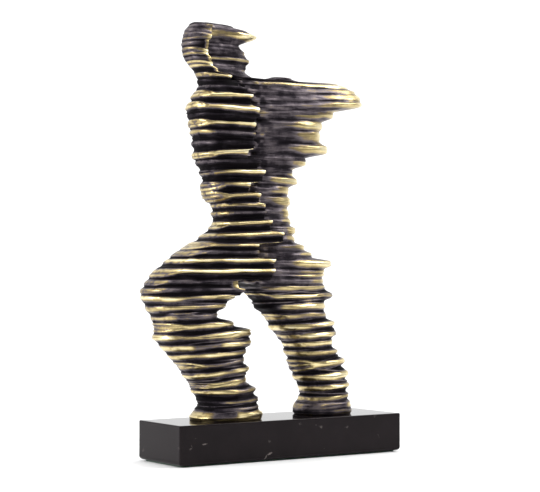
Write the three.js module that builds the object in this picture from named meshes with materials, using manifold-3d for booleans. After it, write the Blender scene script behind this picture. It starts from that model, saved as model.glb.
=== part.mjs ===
// A striding figure cast in bronze as two interleaved stacks of horizontal ridges,
// bolted through a slab of black marble with felt underneath.
//
// Millimetres, +Z up. The origin is the centre of the felt's underside.
// +X is the way the figure faces, and -Y is the side with the clean-cut ridge ends.
import * as THREE from 'three';
import { mergeVertices } from 'three/addons/utils/BufferGeometryUtils.js';
import Module from 'manifold-3d';

const wasm = await Module();
wasm.setup();

// ---------------------------------------------------------------- base sizes
const FELT = { length: 194, width: 54, height: 1, corner: 3 };
const MARBLE = { length: 200, width: 60, height: 29, corner: 1.2, topArris: 0.6, bottomArris: 2.8 };
const BASE_TOP = FELT.height + MARBLE.height;
const CORNER_STEPS = 3;
const ARRIS_STEPS = 3;

// ------------------------------------------------------------ M8 foot fixings
const FIXING_X = { rear: -43, front: 47 };
const STUD = { diameter: 8, bottom: 2.5, top: 40, chamfer: 0.8 };
const CLEARANCE_HOLE = 9;
const COUNTERBORE = { diameter: 26, depth: 13 };
const WASHER = { outer: 22, inner: 8.6, height: 1.6 };
const SPRING_WASHER = { outer: 14.4, inner: 8.4, height: 2, split: 1.2 };
const NUT = { acrossFlats: 13, bore: 8.2, height: 6.5 };
const BOSS = { diameter: 20, height: 12, boreDiameter: 8.2, boreDepth: 10.5, fit: 0.2 };
const ROUND_STEPS = 28;

// ---------------------------------------------------------- figure: sections
// Every ridge is [height at the back, height at the front, back X, front X].
// Heights are measured up from the marble.
const REAR_LEG = [
  [3, 3.5, -71.5, -14],
  [9, 10, -65, -19],
  [13, 15, -65, -18],
  [20.5, 22, -70, -20.5],
  [27, 30, -71.5, -29.5],
  [33, 38.5, -78, -26.5],
  [40, 45, -82, -31.5],
  [47, 51, -90, -28.5],
  [54, 57, -96, -24],
  [61, 66, -104, -24],
  [69, 72, -102, -40],
  [76, 79, -103, -56],
  [83, 85, -109, -47],
  [91, 91.5, -113.5, -39],
  [97, 97, -112.5, -41],
];
const REAR_BODY = [
  [102.5, 103, -109, -46],
  [110.5, 111, -102, -14],
  [118, 119, -92, -13],
  [124, 125, -84, -27],
  [129, 130, -75, -28],
  [137, 138.5, -62, -3],
  [145, 148, -52, -13.5],
  [153.5, 155, -53, -19],
  [159, 160.2, -53, -18],
  [165, 168, -61, -23],
  [174.5, 175, -63, -36],
  [184, 185.5, -63, -19],
  [191.5, 192, -66.5, -25],
  [196.3, 199.7, -70, -35],
  [205, 205.5, -69.5, -29],
  [213, 212, -71, -30],
  [219.7, 220, -73, -29],
  [226, 224, -73, -30],
  [231.5, 230.5, -75, -26],
  [240.5, 241, -70.5, -31],
  [247.5, 246, -65, -37],
  [251.5, 250.5, -66, -41],
  [255.3, 254.8, -67, -46],
];
const REAR_HEAD = [
  [259.5, 259, -69, -57],
  [263.8, 263, -74, -61],
  [267.8, 267, -76.5, -63.5],
  [272.3, 271.5, -79, -65.5],
  [278.5, 278, -79.5, -65.5],
  [284, 283.5, -79, -63],
  [289, 288.7, -77.5, -61],
  [293, 292.5, -75, -57],
];
const FRONT_LEG = [
  [2, 2.5, 24, 69.5],
  [6, 7, 24.5, 69],
  [12, 14.5, 28.5, 67.5],
  [19, 23, 29, 68],
  [29, 31, 22.5, 67.5],
  [38, 41.5, 18, 64.5],
  [48, 49.5, 15.5, 56],
  [54, 55.5, 14, 51],
  [60, 63, 9, 55],
  [67, 71, 1, 54],
  [75.5, 77, -3, 46],
  [82.5, 84, -12.5, 45],
  [91, 92.5, -19.5, 53.5],
  [97, 98.5, -26.5, 46],
];
// The back ends of the front body's ridges are buried in the rear stack.
const FRONT_BODY = [
  [103, 103, -45, 43.5],
  [108.5, 108.5, -45, 45.5],
  [117, 116.5, -45, 51.5],
  [123, 123, -45, 33.5],
  [128.5, 128.5, -45, 27],
  [134.5, 134.5, -45, 18],
  [142, 142, -45, 19.5],
  [148, 148, -45, 14.5],
  [154.5, 154.5, -45, 13],
  [164, 164, -45, 15],
  [171.5, 171.5, -45, 13],
  [179.5, 179.5, -45, 21],
  [185, 185, -45, 17],
  [194.5, 194.5, -45, 28.5],
  [204, 204, -45, 48.5],
  [213.5, 213.5, -45, 41],
  [219.5, 222.3, -45, 42],
  [225.5, 231.8, -45, 53],
  [231.5, 241.2, -45, 81],
  [238.5, 246.6, -45, 79],
  [245, 250.8, -48, 75],
  [251.8, 253.8, -53, 68],
  [252.9, 256.6, -40, 60],
];
const FRONT_HEAD = [
  [257.8, 255, -60, -21],
  [262, 261, -64, -29],
  [268.5, 268.7, -70, -22],
  [274, 274.5, -72, -26.5],
  [279.5, 279.5, -72, -31],
  [287, 287.6, -71, -15.5],
  [291.3, 291, -70, -24],
  [293.3, 292.8, -67, -36],
];
// The far shoulder rises behind the top of the sleeve.
const FAR_SHOULDER = [
  [249, 248.5, -42, 48],
  [254, 253.5, -22, 40],
  [257, 257, 0, 27],
];

// Half-depths across the figure (Y), as [height, half-depth].
const REAR_HALF_DEPTH = [
  [0, 23], [20, 20], [45, 22], [66, 24.5], [95, 25], [120, 25], [140, 22], [165, 19],
  [200, 22], [232, 24], [245, 20], [256, 13], [262, 12], [275, 13.5], [286, 12.5], [290, 10.5], [296, 7],
];
const FRONT_HALF_DEPTH = [
  [0, 21.5], [20, 19], [45, 20], [75, 22], [100, 21], [120, 19], [140, 16], [165, 14],
  [200, 16], [232, 18], [244, 18], [254, 14], [258, 11], [285, 11], [290, 11], [296, 8.5],
];
// The sleeve widens towards the hand.
const FRONT_FLARE = [[0, 0], [190, 0], [215, 4], [240, 5], [250, 3], [256, 0]];
const REAR_CENTRE_Y = -1;
const FRONT_CENTRE_Y = 1;
const SHOULDER = { centreY: 8, halfDepth: 9 };

const RING_POINTS = 20;
const ROUNDNESS = 2.2;        // superellipse power of a ridge's outline
const CUT_END = 2;            // length of the squared end of a cut ridge
const REAR_NOSE = 1.1;        // length of a rounded back end, over its half-depth
const FRONT_NOSE = 28;        // length of a rounded front end
const GROOVE_RATIO = 0.42;    // depth of a groove over the height between its ridges
const GROOVE_MAX = 4.2;
const SWAY = 1.2;             // how far neighbouring ridges differ in half-depth
const END_DROP = 3;           // from a stack's first ridge down to its flat end
const FOOT_INSET = 1;
const CROWN = { rise: 2, inset: 3 };

// ------------------------------------------------------- figure: casting core
// Hollow core, as [height, back X, front X, half-depth].
const REAR_CORE = [
  [8, -53, -33, 10],
  [24, -60, -33, 13],
  [45, -75, -41, 14.5],
  [62, -92, -36, 17],
  [76, -93, -66, 17],
  [96, -103, -56, 18],
  [106, -97, -54, 17],
  [114, -89, -26, 14],
  [130, -61, -18, 11],
  [141, -44, -10, 10],
  [150, -42, 4, 8.5],
  [185, -54, 5, 9],
  [212, -62, 14, 11],
  [238, -61, 24, 12],
  [249, -54, -6, 9],
];
const FRONT_CORE = [
  [8, 37, 57, 10],
  [24, 38, 58, 11.5],
  [50, 24, 45, 12.5],
  [72, 10, 40, 14],
  [96, -10, 37, 13],
  [114, -30, 36, 12],
  [124, -40, 14, 10],
];

// ------------------------------------------------------------- solid helpers
function meshOf(geometry) {
  const shape = geometry.clone();
  shape.deleteAttribute('normal');
  shape.deleteAttribute('uv');
  return mergeVertices(shape, 1e-4);
}

function solidOf(geometry) {
  const shape = meshOf(geometry);
  const mesh = new wasm.Mesh({
    numProp: 3,
    vertProperties: Float32Array.from(shape.attributes.position.array),
    triVerts: Uint32Array.from(shape.index.array),
  });
  return new wasm.Manifold(mesh);
}

function geometryOf(solid) {
  const mesh = solid.getMesh();
  const geometry = new THREE.BufferGeometry();
  geometry.setAttribute('position', new THREE.BufferAttribute(mesh.vertProperties, 3));
  geometry.setIndex(new THREE.BufferAttribute(mesh.triVerts, 1));
  return geometry;
}

// Skin over a pile of rings, lowest first, each counter-clockwise seen from above.
function loft(rings) {
  const count = rings[0].length;
  const points = rings.flat();
  const triangles = [];
  for (let level = 0; level + 1 < rings.length; level += 1) {
    for (let i = 0; i < count; i += 1) {
      const a = level * count + i;
      const b = level * count + (i + 1) % count;
      triangles.push(a, b, b + count, a, b + count, a + count);
    }
  }
  const top = (rings.length - 1) * count;
  const under = points.push(middle(rings[0])) - 1;
  const over = points.push(middle(rings.at(-1))) - 1;
  for (let i = 0; i < count; i += 1) {
    const next = (i + 1) % count;
    triangles.push(under, next, i, over, top + i, top + next);
  }
  const geometry = new THREE.BufferGeometry().setFromPoints(points);
  geometry.setIndex(triangles);
  return geometry;
}

function middle(ring) {
  const sum = ring.reduce((total, point) => total.add(point), new THREE.Vector3());
  return sum.divideScalar(ring.length);
}

function cylinder(diameter, bottom, top, x) {
  const geometry = new THREE.CylinderGeometry(diameter / 2, diameter / 2, top - bottom, ROUND_STEPS);
  geometry.rotateX(Math.PI / 2);
  geometry.translate(x, 0, (top + bottom) / 2);
  return geometry;
}

// Round part from [radius, height] points, standing on the Z axis.
function turned(profile) {
  const points = profile.map(([radius, height]) => new THREE.Vector2(radius, height));
  const geometry = new THREE.LatheGeometry(points, ROUND_STEPS);
  geometry.rotateX(Math.PI / 2);
  return geometry;
}

// ------------------------------------------------------------- figure casting
function interpolate(table, at) {
  const after = table.findIndex(([place]) => place > at);
  if (after === 0) return table[0][1];
  if (after === -1) return table.at(-1)[1];
  const [x0, y0] = table[after - 1];
  const [x1, y1] = table[after];
  return THREE.MathUtils.mapLinear(at, x0, x1, y0, y1);
}

function signedPower(value, power) {
  return Math.sign(value) * Math.abs(value) ** power;
}

// One ring: a rounded back end, straight sides and a rounded front end.
function ring(section) {
  const { back, front, depth, flare, backNose, frontNose, centreY, zBack, zFront } = section;
  const points = [];
  for (let i = 0; i < RING_POINTS; i += 1) {
    const angle = 2 * Math.PI * (i + 0.5) / RING_POINTS;
    const along = signedPower(Math.cos(angle), 2 / ROUNDNESS);
    const across = signedPower(Math.sin(angle), 2 / ROUNDNESS);
    const atFront = along > 0;
    const x = atFront ? front - frontNose + frontNose * along : back + backNose + backNose * along;
    const y = centreY + across * (atFront ? depth + flare : depth);
    const z = THREE.MathUtils.mapLinear(x, back, front, zBack, zFront);
    points.push(new THREE.Vector3(x, y, z + BASE_TOP));
  }
  return points;
}

function legSection([zBack, zFront, back, front], depth, centreY) {
  const nose = (front - back) / 2;
  return { zBack, zFront, back, front, depth, flare: 0, backNose: nose, frontNose: nose, centreY };
}

function rearSection([zBack, zFront, back, front], depth) {
  const backNose = Math.min(REAR_NOSE * depth, 0.9 * (front - back));
  const frontNose = Math.min(CUT_END, 0.1 * (front - back));
  return { zBack, zFront, back, front, depth, flare: 0, backNose, frontNose, centreY: REAR_CENTRE_Y };
}

function frontSection([zBack, zFront, back, front], depth) {
  const flare = interpolate(FRONT_FLARE, zFront);
  const frontNose = Math.min(FRONT_NOSE, 0.6 * (front - back));
  return { zBack, zFront, back, front, depth, flare, backNose: CUT_END, frontNose, centreY: FRONT_CENTRE_Y };
}

// The groove between two ridges follows both and lies deeper than either.
function grooveSection(below, above) {
  const section = {};
  for (const key of Object.keys(below)) {
    section[key] = (below[key] + above[key]) / 2;
  }
  const gap = (above.zBack + above.zFront - below.zBack - below.zFront) / 2;
  const inset = Math.min(GROOVE_RATIO * gap, GROOVE_MAX);
  section.back += inset;
  section.front -= inset;
  section.depth -= inset;
  return section;
}

// A stack ends in a level ring under its first ridge and a smaller one over its last.
function footSection(first) {
  const level = Math.max(0, first.zFront - END_DROP);
  return {
    ...first,
    zBack: level,
    zFront: level,
    back: first.back + FOOT_INSET,
    front: first.front - FOOT_INSET,
    depth: first.depth - FOOT_INSET,
  };
}

function crownSection(last) {
  return {
    ...last,
    zBack: last.zBack + CROWN.rise,
    zFront: last.zFront + CROWN.rise,
    back: last.back + CROWN.inset,
    front: last.front - CROWN.inset,
    depth: last.depth - CROWN.inset,
  };
}

function stack(sections) {
  const rings = [ring(footSection(sections[0])), ring(sections[0])];
  for (let i = 1; i < sections.length; i += 1) {
    rings.push(ring(grooveSection(sections[i - 1], sections[i])), ring(sections[i]));
  }
  rings.push(ring(crownSection(sections.at(-1))));
  return solidOf(loft(rings));
}

function halfDepth(table, ridge, index) {
  return interpolate(table, (ridge[0] + ridge[1]) / 2) + SWAY * Math.sin(2.4 * index);
}

function rearStack() {
  const ridges = [...REAR_LEG, ...REAR_BODY, ...REAR_HEAD];
  return stack(ridges.map((ridge, index) => {
    const depth = halfDepth(REAR_HALF_DEPTH, ridge, index);
    return index < REAR_LEG.length ? legSection(ridge, depth, REAR_CENTRE_Y) : rearSection(ridge, depth);
  }));
}

function frontStack() {
  const ridges = [...FRONT_LEG, ...FRONT_BODY, ...FRONT_HEAD];
  return stack(ridges.map((ridge, index) => {
    const depth = halfDepth(FRONT_HALF_DEPTH, ridge, index);
    return index < FRONT_LEG.length ? legSection(ridge, depth, FRONT_CENTRE_Y) : frontSection(ridge, depth);
  }));
}

function shoulderStack() {
  return stack(FAR_SHOULDER.map((ridge) => legSection(ridge, SHOULDER.halfDepth, SHOULDER.centreY)));
}

function core(rows) {
  const rings = rows.map(([height, back, front, depth]) => {
    const row = [height, height, back, front];
    return ring(legSection(row, depth, 0));
  });
  return solidOf(loft(rings));
}

function soleOpening(x) {
  return solidOf(cylinder(BOSS.diameter + 2 * BOSS.fit, BASE_TOP - 1, BASE_TOP + BOSS.height + BOSS.fit, x));
}

function figureGeometry() {
  const casting = rearStack().add(frontStack()).add(shoulderStack());
  const hollow = core(REAR_CORE)
    .add(core(FRONT_CORE))
    .add(soleOpening(FIXING_X.rear))
    .add(soleOpening(FIXING_X.front));
  return geometryOf(casting.subtract(hollow));
}

// ------------------------------------------------------------------ the base
function roundedRectangle(length, width, corner, z) {
  const points = [];
  for (const [quarter, sx, sy] of [[0, 1, 1], [1, -1, 1], [2, -1, -1], [3, 1, -1]]) {
    for (let i = 0; i <= CORNER_STEPS; i += 1) {
      const angle = (quarter + i / CORNER_STEPS) * Math.PI / 2;
      const x = sx * (length / 2 - corner) + corner * Math.cos(angle);
      const y = sy * (width / 2 - corner) + corner * Math.sin(angle);
      points.push(new THREE.Vector3(x, y, z));
    }
  }
  return points;
}

function marbleBlock() {
  const { length, width, height, corner, topArris, bottomArris } = MARBLE;
  const rings = [];
  for (let i = 0; i <= ARRIS_STEPS; i += 1) {
    const angle = (i / ARRIS_STEPS) * Math.PI / 2;
    const inset = bottomArris * (1 - Math.sin(angle));
    const z = FELT.height + bottomArris * (1 - Math.cos(angle));
    rings.push(roundedRectangle(length - 2 * inset, width - 2 * inset, corner, z));
  }
  rings.push(roundedRectangle(length, width, corner, FELT.height + height - topArris));
  rings.push(roundedRectangle(length - 2 * topArris, width - 2 * topArris, corner, BASE_TOP));
  return solidOf(loft(rings));
}

function marbleGeometry() {
  let block = marbleBlock();
  for (const x of Object.values(FIXING_X)) {
    const bore = cylinder(CLEARANCE_HOLE, FELT.height - 1, BASE_TOP + 1, x);
    const counterbore = cylinder(COUNTERBORE.diameter, FELT.height - 1, FELT.height + COUNTERBORE.depth, x);
    block = block.subtract(solidOf(bore)).subtract(solidOf(counterbore));
  }
  return geometryOf(block);
}

function feltGeometry() {
  const { length, width, height, corner } = FELT;
  return loft([roundedRectangle(length, width, corner, 0), roundedRectangle(length, width, corner, height)]);
}

// --------------------------------------------------------------- the fixings
function bossGeometry() {
  const bore = BOSS.boreDiameter / 2;
  const radius = BOSS.diameter / 2;
  return turned([[0, BOSS.boreDepth], [bore, BOSS.boreDepth], [bore, 0], [radius, 0], [radius, BOSS.height],
    [0, BOSS.height]]);
}

function studGeometry() {
  const radius = STUD.diameter / 2;
  const height = STUD.top - STUD.bottom;
  return turned([[0, 0], [radius - STUD.chamfer, 0], [radius, STUD.chamfer], [radius, height - STUD.chamfer],
    [radius - STUD.chamfer, height], [0, height]]);
}

function annulus(outer, inner, height) {
  return turned([[inner / 2, 0], [outer / 2, 0], [outer / 2, height], [inner / 2, height], [inner / 2, 0]]);
}

function springWasherGeometry() {
  const { outer, inner, height, split } = SPRING_WASHER;
  const slot = new THREE.BoxGeometry(outer, split, 3 * height);
  slot.translate(outer / 2, 0, 0);
  return geometryOf(solidOf(annulus(outer, inner, height)).subtract(solidOf(slot)));
}

function nutGeometry() {
  const corner = NUT.acrossFlats / Math.sqrt(3);
  const outline = new THREE.Shape();
  for (let i = 0; i < 6; i += 1) {
    const angle = i * Math.PI / 3;
    outline[i === 0 ? 'moveTo' : 'lineTo'](corner * Math.cos(angle), corner * Math.sin(angle));
  }
  const bore = new THREE.Path();
  bore.absarc(0, 0, NUT.bore / 2, 0, 2 * Math.PI, true);
  outline.holes.push(bore);
  return new THREE.ExtrudeGeometry(outline, { depth: NUT.height, bevelEnabled: false, curveSegments: 12 });
}

// ----------------------------------------------------------------- materials
function finish(color, roughness, metalness) {
  return new THREE.MeshStandardMaterial({ color, roughness, metalness, flatShading: true });
}

const BRONZE = finish(0x8c7a4c, 0.35, 1);
const BLACK_MARBLE = finish(0x1c1a1c, 0.12, 0);
const STEEL = finish(0xb4b6b8, 0.4, 1);
const BRASS = finish(0xb08d4a, 0.4, 1);
const GREEN_FELT = finish(0x1f3b2c, 1, 0);

// ------------------------------------------------------------------ assembly
function piece(name, geometry, material, x = 0, z = 0) {
  const mesh = new THREE.Mesh(meshOf(geometry), material);
  mesh.name = name;
  mesh.position.set(x, 0, z);
  return mesh;
}

function fixing(foot, x) {
  const group = new THREE.Group();
  const seat = FELT.height + COUNTERBORE.depth;
  const washerZ = seat - WASHER.height;
  const springZ = washerZ - SPRING_WASHER.height;
  const nutZ = springZ - NUT.height;
  const washer = annulus(WASHER.outer, WASHER.inner, WASHER.height);
  group.add(piece(`${foot}_foot_boss`, bossGeometry(), BRASS, x, BASE_TOP));
  group.add(piece(`${foot}_stud`, studGeometry(), STEEL, x, STUD.bottom));
  group.add(piece(`${foot}_washer`, washer, STEEL, x, washerZ));
  group.add(piece(`${foot}_spring_washer`, springWasherGeometry(), STEEL, x, springZ));
  group.add(piece(`${foot}_nut`, nutGeometry(), STEEL, x, nutZ));
  return group;
}

const statuette = new THREE.Group();
statuette.add(piece('figure', figureGeometry(), BRONZE));
statuette.add(piece('marble_base', marbleGeometry(), BLACK_MARBLE));
statuette.add(piece('felt_sheet', feltGeometry(), GREEN_FELT));
for (const [foot, x] of Object.entries(FIXING_X)) {
  statuette.add(fixing(foot, x));
}

export default statuette;
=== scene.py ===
"""Looks of the striding bronze statuette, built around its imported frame.

Tables and shape constants are millimetres; meshes are scaled to metres when they are made.
+X is the way the figure faces and -Y is the side with the clean-cut ridge ends.
"""

import math

import bpy
import numpy as np
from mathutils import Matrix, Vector


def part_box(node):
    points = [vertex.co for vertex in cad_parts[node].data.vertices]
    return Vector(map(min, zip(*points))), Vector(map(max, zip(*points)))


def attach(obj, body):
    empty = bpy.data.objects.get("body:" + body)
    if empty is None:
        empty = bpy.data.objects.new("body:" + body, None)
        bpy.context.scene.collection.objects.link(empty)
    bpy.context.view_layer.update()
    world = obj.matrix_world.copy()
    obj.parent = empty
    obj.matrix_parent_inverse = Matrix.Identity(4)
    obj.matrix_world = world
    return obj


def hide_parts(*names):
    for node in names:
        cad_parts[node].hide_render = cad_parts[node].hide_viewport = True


MM = 0.001

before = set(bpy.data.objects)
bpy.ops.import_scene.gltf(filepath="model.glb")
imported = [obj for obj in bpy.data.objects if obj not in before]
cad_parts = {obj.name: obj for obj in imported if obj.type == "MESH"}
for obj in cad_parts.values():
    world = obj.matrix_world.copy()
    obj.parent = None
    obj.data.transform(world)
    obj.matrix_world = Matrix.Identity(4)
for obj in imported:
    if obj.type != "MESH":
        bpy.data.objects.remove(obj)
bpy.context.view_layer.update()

marble_low, marble_high = (np.array(corner, float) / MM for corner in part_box("marble_base"))
felt_low, felt_high = (np.array(corner, float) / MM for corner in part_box("felt_sheet"))
BASE_TOP = marble_high[2]

# ---- figure: ridges
# A ridge is (height at the back, height at the front, back X, front X, polish).
# Heights are measured up from the marble; polish runs from 0, left dark, to 1, rubbed bright.
REAR_LEG = [
    (3, 3.5, -71.5, -14, 0.95),
    (9, 10, -65, -19, 0.5),
    (13, 15, -65, -18, 0.75),
    (20.5, 22, -70, -20.5, 0.8),
    (27, 30, -71.5, -29.5, 0.9),
    (33, 38.5, -78, -26.5, 0.95),
    (40, 45, -82, -31.5, 0.6),
    (47, 51, -90, -28.5, 0.9),
    (54, 57, -96, -24, 0.9),
    (61, 66, -104, -24, 1.0),
    (69, 72, -102, -40, 0.9),
    (76, 79, -103, -56, 0.5),
    (83, 85, -109, -47, 0.7),
    (91, 91.5, -113.5, -39, 1.0),
    (97, 97, -112.5, -41, 0.35),
]
REAR_BODY = [
    (102.5, 103, -109, -46, 0.35),
    (110.5, 111, -102, -14, 1.0),
    (118, 119, -92, -13, 1.0),
    (124, 125, -84, -27, 0.4),
    (129, 130, -75, -28, 0.85),
    (137, 138.5, -62, -3, 0.85),
    (145, 148, -52, -13.5, 0.9),
    (153.5, 155, -53, -19, 0.32),
    (159, 160.2, -53, -18, 0.7),
    (165, 168, -61, -23, 0.8),
    (174.5, 175, -63, -32, 0.8),
    (184, 185.5, -63, -19, 1.0),
    (191.5, 192, -66.5, -25, 0.2),
    (196.3, 199.7, -70, -35, 1.0),
    (205, 205.5, -69.5, -29, 0.2),
    (213, 212, -71, -30, 0.35),
    (219.7, 220, -73, -29, 0.95),
    (226, 224, -73, -30, 0.1),
    (231.5, 230.5, -75, -26, 1.0),
    (240.5, 241, -70.5, -31, 0.95),
    (247.5, 246, -65, -37, 0.2),
    (251.5, 250.5, -66, -41, 0.1),
    (255.3, 254.8, -67, -46, 0.8),
]
REAR_HEAD = [
    (259.5, 259, -69, -57, 0.1),
    (263.8, 263, -74, -61, 0.8),
    (267.8, 267, -76.5, -63.5, 0.2),
    (272.3, 271.5, -79, -65.5, 1.0),
    (278.5, 278, -79.5, -65.5, 0.22),
    (284, 283.5, -79, -63, 0.9),
    (289, 288.7, -77.5, -61, 0.2),
    (293, 292.5, -74, -60, 0.05),
]
FRONT_LEG = [
    (2, 2.5, 24, 69.5, 0.6),
    (6, 7, 24.5, 69, 0.8),
    (12, 14.5, 28.5, 67.5, 0.75),
    (19, 23, 29, 68, 0.85),
    (29, 31, 22.5, 67.5, 1.0),
    (38, 41.5, 18, 64.5, 1.0),
    (48, 49.5, 15.5, 56, 0.7),
    (54, 55.5, 14, 51, 0.9),
    (60, 63, 9, 55, 1.0),
    (67, 71, 1, 54, 1.0),
    (75.5, 77, -3, 46, 0.6),
    (82.5, 84, -12.5, 45, 0.9),
    (91, 92.5, -19.5, 53.5, 1.0),
    (97, 98.5, -26.5, 46, 0.8),
]
# The back ends of the front body's ridges are buried in the rear stack.
FRONT_BODY = [
    (103, 103, -45, 43.5, 0.4),
    (108.5, 108.5, -45, 45.5, 0.8),
    (117, 116.5, -45, 51.5, 1.0),
    (123, 123, -45, 33.5, 0.5),
    (128.5, 128.5, -45, 27, 0.6),
    (134.5, 134.5, -45, 18, 0.3),
    (142, 142, -45, 19.5, 0.5),
    (148, 148, -45, 14.5, 0.4),
    (154.5, 154.5, -45, 13, 0.5),
    (164, 164, -45, 15, 0.8),
    (171.5, 171.5, -45, 13, 0.8),
    (179.5, 179.5, -45, 21, 1.0),
    (185, 185, -45, 17, 0.3),
    (194.5, 194.5, -45, 28.5, 0.6),
    (204, 204, -45, 48.5, 1.0),
    (213.5, 213.5, -45, 41, 0.8),
    (219.5, 222.3, -45, 42, 0.95),
    (225.5, 231.8, -45, 53, 0.85),
    (231.5, 241.2, -45, 80, 0.75),
    (238.5, 246.6, -45, 79, 0.65),
    (245, 250.8, -48, 75, 0.65),
    (251.8, 253.8, -53, 68, 1.0),
    (252.9, 256.6, -40, 60, 0.3),
]
FRONT_HEAD = [
    (257.4, 253.2, -60, -18, 0.2),
    (262, 260.4, -64, -26, 0.2),
    (268.5, 268.7, -70, -22, 0.9),
    (274, 274.5, -72, -26.5, 0.2),
    (279.5, 279.5, -72, -31, 0.15),
    (287, 287.6, -71, -15.5, 1.0),
    (291.3, 291, -70, -24, 0.55),
    (293.3, 292.8, -67, -36, 0.1),
]
# The far shoulder rises behind the top of the sleeve.
FAR_SHOULDER = [
    (249, 248.5, -42, 48, 0.3),
    (254, 253.5, -8, 37, 0.5),
    (257, 256.4, -6, 31, 0.45),
    (259.2, 258.6, 3, 21, 0.4),
]

# Half-depths across the figure (Y), as (height, half-depth).
REAR_HALF_DEPTH = [
    (0, 23), (20, 20), (45, 22), (66, 24.5), (95, 25), (120, 25), (140, 22), (165, 19), (200, 22),
    (232, 24), (245, 20), (256, 13), (262, 12), (275, 13.5), (286, 12.5), (290, 10.5), (296, 7),
]
FRONT_HALF_DEPTH = [
    (0, 21.5), (20, 19), (45, 20), (75, 22), (100, 21), (120, 19), (140, 16), (165, 14), (200, 16),
    (232, 18), (244, 18), (254, 14), (258, 11), (290, 11), (296, 8.5),
]
FRONT_FLARE = [(0, 0), (190, 0), (215, 4), (240, 5), (250, 3), (256, 0)]
REAR_CENTRE_Y = -1
FRONT_CENTRE_Y = 1
SHOULDER_CENTRE_Y = 8
SHOULDER_HALF_DEPTH = 9
SHOULDER_SOLE = 245

# The ends of a ridge are superellipses in plan: power 2 is an oval, a high power is square.
ROUND_POWER = 2.2
CUT_POWER = 5.0
CUT_END = 3.0
REAR_NOSE = 1.1
FRONT_NOSE = 28
QUARTER_ARC = 0.8            # length of a quarter oval over the sum of its two radii
SWAY = 1.2
GROOVE_RATIO = 0.42
GROOVE_MAX = 4.2
THIN_RIDGE_GAP = 5.5
END_REACH = 12
CROWN_STEPS = 7
CROWN_REACH = 0.9
CROWN_SHEEN = 0.15
END_SHEEN = 0.2

ROW_STEP = 0.5
NEAR_COLUMNS = 110
FAR_COLUMNS = 80


# ---- numbers
def smoothstep(low, high, value):
    t = np.clip((value - low) / (high - low), 0.0, 1.0)
    return t * t * (3.0 - 2.0 * t)


def lattice(ix, iy, iz, seed):
    """Repeatable random numbers from -1 to 1 at whole-number points."""
    mixed = (ix * 374761393 + iy * 668265263 + iz * 1442695041 + seed * 974634777) & 0xFFFFFFFF
    mixed = ((mixed ^ (mixed >> 13)) * 1274126177) & 0xFFFFFFFF
    return ((mixed ^ (mixed >> 16)) & 0xFFFF) / 32767.5 - 1.0


def noise(x, y, z, seed):
    """Smooth value noise from -1 to 1."""
    x, y, z = np.broadcast_arrays(x, y, z)
    cell = [np.floor(v).astype(np.int64) for v in (x, y, z)]
    u, v, w = (f * f * (3.0 - 2.0 * f) for f in (x - cell[0], y - cell[1], z - cell[2]))
    total = np.zeros(x.shape)
    for dx, dy, dz in np.ndindex(2, 2, 2):
        weight = (u if dx else 1 - u) * (v if dy else 1 - v) * (w if dz else 1 - w)
        total += weight * lattice(cell[0] + dx, cell[1] + dy, cell[2] + dz, seed)
    return total


def chance(index, seed):
    """A repeatable random number from 0 to 1 for a whole number."""
    return 0.5 + 0.5 * float(lattice(np.int64(index), np.int64(7), np.int64(3), seed))


def look_up(table, heights):
    return np.interp(heights, [row[0] for row in table], [row[1] for row in table])


# ---- figure: stacks
def leg_shape(back, front, depth):
    """Length of the back nose, of the front nose, the front's power, and how clean-cut the front is."""
    nose = 0.5 * (front - back)
    return nose, nose, ROUND_POWER, 0.0


def rear_shape(back, front, depth, cut=1.0):
    length = front - back
    return min(REAR_NOSE * depth, 0.88 * length), min(CUT_END, 0.12 * length), CUT_POWER, cut


def nape_shape(back, front, depth):
    return rear_shape(back, front, depth, cut=0.5)


def front_shape(back, front, depth):
    return 2.0, min(FRONT_NOSE, 0.6 * (front - back)), ROUND_POWER, 0.0


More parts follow.
